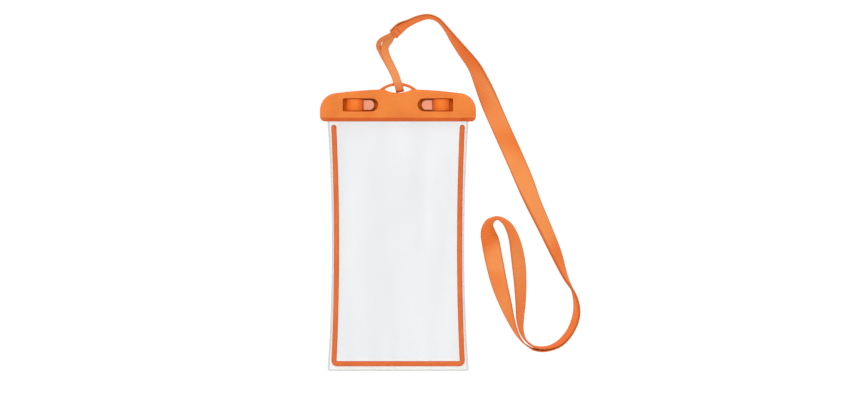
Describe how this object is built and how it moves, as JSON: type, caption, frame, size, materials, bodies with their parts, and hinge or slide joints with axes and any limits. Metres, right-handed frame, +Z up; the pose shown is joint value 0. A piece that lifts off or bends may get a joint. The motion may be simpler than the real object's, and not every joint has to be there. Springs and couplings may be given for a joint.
{
  "type": "waterproof phone pouch",
  "caption": "Flat clear pouch for a phone, sealed by a hinged clip with slide locks, with a raised border bead and a flat neck lanyard.",
  "frame": {"origin": "bottom centre of the bounding box of the pouch and clip, without the lanyard, on the surface the pouch lies on", "axes": "+X across the pouch, +Y along it from the pocket's bottom to the clip, +Z up out of the clear front"},
  "size_m": [0.1776, 0.244, 0.0142],
  "materials": {
    "orange_clip": "satin moulded plastic",
    "pale_catch": "satin moulded plastic",
    "clear_film": "clear soft film",
    "orange_bead": "soft welded bead",
    "orange_webbing": "woven ribbed webbing",
    "white_seal": "soft seal strip"
  },
  "bodies": {
    "pouch": {"rear_jaw": "orange_clip", "seal_strip": "white_seal", "catch_left": "pale_catch", "catch_right": "pale_catch", "front_film": "clear_film", "rear_film": "clear_film", "border_strip": "orange_bead", "tether_tape": "orange_webbing", "neck_strap": "orange_webbing"},
    "front_jaw": {"front_jaw_shell": "orange_clip", "front_jaw_plate": "orange_clip"},
    "slider_left": {"slider_left": "orange_clip"},
    "slider_right": {"slider_right": "orange_clip"}
  },
  "joints": [
    {"name": "front_jaw_hinge", "type": "hinge", "parent": "pouch", "child": "front_jaw", "pos_m": [0, 0.0722, 0.00785], "axis": [1, 0, 0], "range_deg": [0, 90]},
    {"name": "slider_left_slide", "type": "slide", "parent": "front_jaw", "child": "slider_left", "axis": [1, 0, 0], "range_m": [0, 0.007]},
    {"name": "slider_right_slide", "type": "slide", "parent": "front_jaw", "child": "slider_right", "axis": [-1, 0, 0], "range_m": [0, 0.007]}
  ]
}
